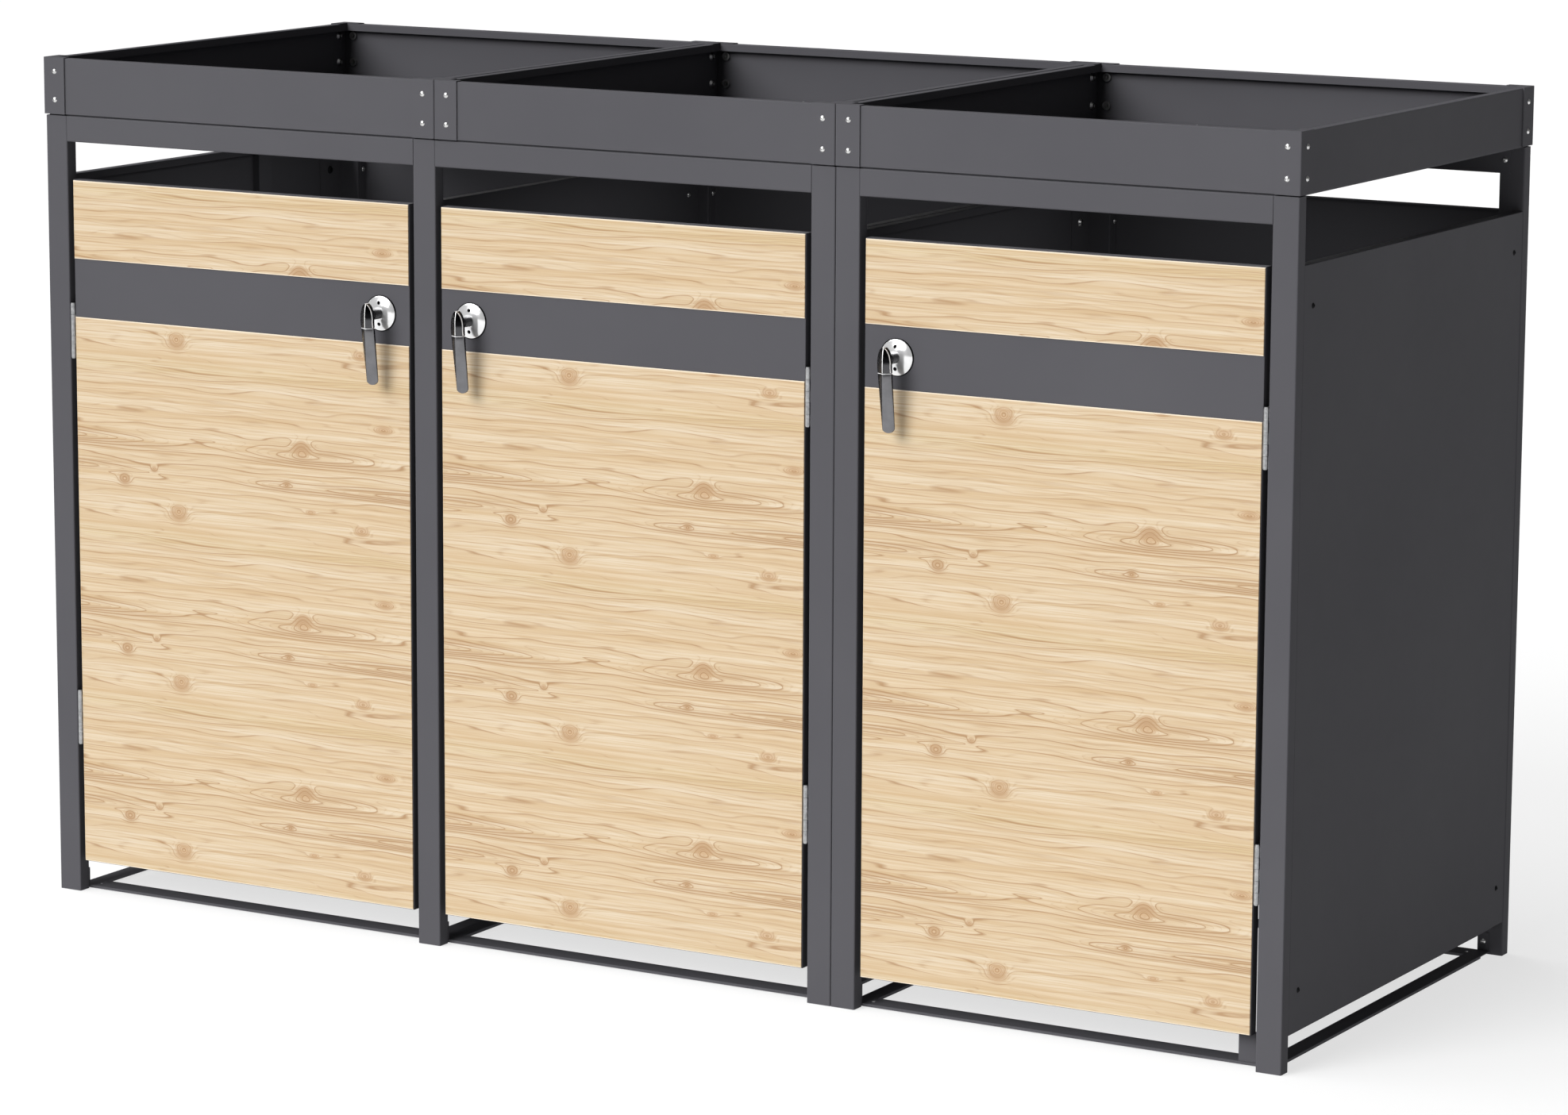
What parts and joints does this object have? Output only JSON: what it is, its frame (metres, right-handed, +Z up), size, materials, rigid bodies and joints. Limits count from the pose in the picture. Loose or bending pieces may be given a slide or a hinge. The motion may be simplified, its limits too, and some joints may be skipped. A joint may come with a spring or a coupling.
{
  "type": "wheelie bin store",
  "caption": "Steel store for three wheelie bins, with wood-look hinged doors, turning handles, side walls and open planter trays on top.",
  "frame": {"origin": "on the ground, under the middle of the bounding box", "axes": "+X to the right along the front, -Y out of the doors, +Z up"},
  "size_m": [2.0496, 0.8209, 1.264],
  "materials": {
    "grey_paint": "anthracite powder coat, fine texture, satin",
    "wood_look": "pale knotty wood-look coating with horizontal grain, satin",
    "bright_steel": "zinc plated, bright",
    "dark_screws": "black oxide, satin",
    "chrome": "polished chrome",
    "dark_chrome": "satin dark chrome"
  },
  "bodies": {
    "frame": {"left_front_post": "grey_paint", "left_rear_post": "grey_paint", "middle_front_post": "grey_paint", "middle_rear_post": "grey_paint", "double_end_front_post": "grey_paint", "double_end_rear_post": "grey_paint", "single_end_front_post": "grey_paint", "single_end_rear_post": "grey_paint", "right_front_post": "grey_paint", "right_rear_post": "grey_paint", "front_beam_1": "grey_paint", "front_beam_2": "grey_paint", "front_beam_3": "grey_paint", "rear_beams": "grey_paint", "left_wall": "grey_paint", "left_wall_rib": "grey_paint", "middle_partition": "grey_paint", "double_end_wall": "grey_paint", "single_end_wall": "grey_paint", "right_wall": "grey_paint", "rear_panel_1": "grey_paint", "rear_panel_2": "grey_paint", "rear_panel_3": "grey_paint", "front_base_rails": "grey_paint", "rear_base_rails": "grey_paint", "side_base_rails": "grey_paint", "foot_plate": "grey_paint", "tray_1_rails": "grey_paint", "tray_2_rails": "grey_paint", "tray_3_rails": "grey_paint", "tray_corner_brackets": "grey_paint", "tray_1_floor": "grey_paint", "tray_2_floor": "grey_paint", "tray_3_floor": "grey_paint", "hinge_post_leaves": "bright_steel", "hinge_pins": "bright_steel", "tray_bolts": "bright_steel", "frame_bolts": "bright_steel", "wall_screws": "dark_screws"},
    "door_1": {"door_1_pan": "grey_paint", "door_1_upper_plate": "wood_look", "door_1_lower_plate": "wood_look", "door_1_hinge_leaves": "bright_steel", "door_1_rosette": "chrome"},
    "lever_1": {"lever_1_grip": "dark_chrome", "lever_1_cam": "bright_steel"},
    "door_2": {"door_2_pan": "grey_paint", "door_2_upper_plate": "wood_look", "door_2_lower_plate": "wood_look", "door_2_hinge_leaves": "bright_steel", "door_2_rosette": "chrome"},
    "lever_2": {"lever_2_grip": "dark_chrome", "lever_2_cam": "bright_steel"},
    "door_3": {"door_3_pan": "grey_paint", "door_3_upper_plate": "wood_look", "door_3_lower_plate": "wood_look", "door_3_hinge_leaves": "bright_steel", "door_3_rosette": "chrome"},
    "lever_3": {"lever_3_grip": "dark_chrome", "lever_3_cam": "bright_steel"}
  },
  "joints": [
    {"name": "door_1_hinge", "type": "hinge", "parent": "frame", "child": "door_1", "pos_m": [-0.9785, -0.36665, 0.564], "axis": [0, 0, -1], "range_deg": [0, 110]},
    {"name": "lever_1_turn", "type": "hinge", "parent": "door_1", "child": "lever_1", "pos_m": [-0.42425, -0.36665, 0.9235], "axis": [0, 1, 0], "range_deg": [0, 90]},
    {"name": "door_2_hinge", "type": "hinge", "parent": "frame", "child": "door_2", "pos_m": [0.285, -0.36665, 0.564], "axis": [0, 0, 1], "range_deg": [0, 110]},
    {"name": "lever_2_turn", "type": "hinge", "parent": "door_2", "child": "lever_2", "pos_m": [-0.26925, -0.36665, 0.9235], "axis": [0, -1, 0], "range_deg": [0, 90]},
    {"name": "door_3_hinge", "type": "hinge", "parent": "frame", "child": "door_3", "pos_m": [0.9785, -0.36665, 0.564], "axis": [0, 0, 1], "range_deg": [0, 110]},
    {"name": "lever_3_turn", "type": "hinge", "parent": "door_3", "child": "lever_3", "pos_m": [0.42425, -0.36665, 0.9235], "axis": [0, -1, 0], "range_deg": [0, 90]}
  ]
}
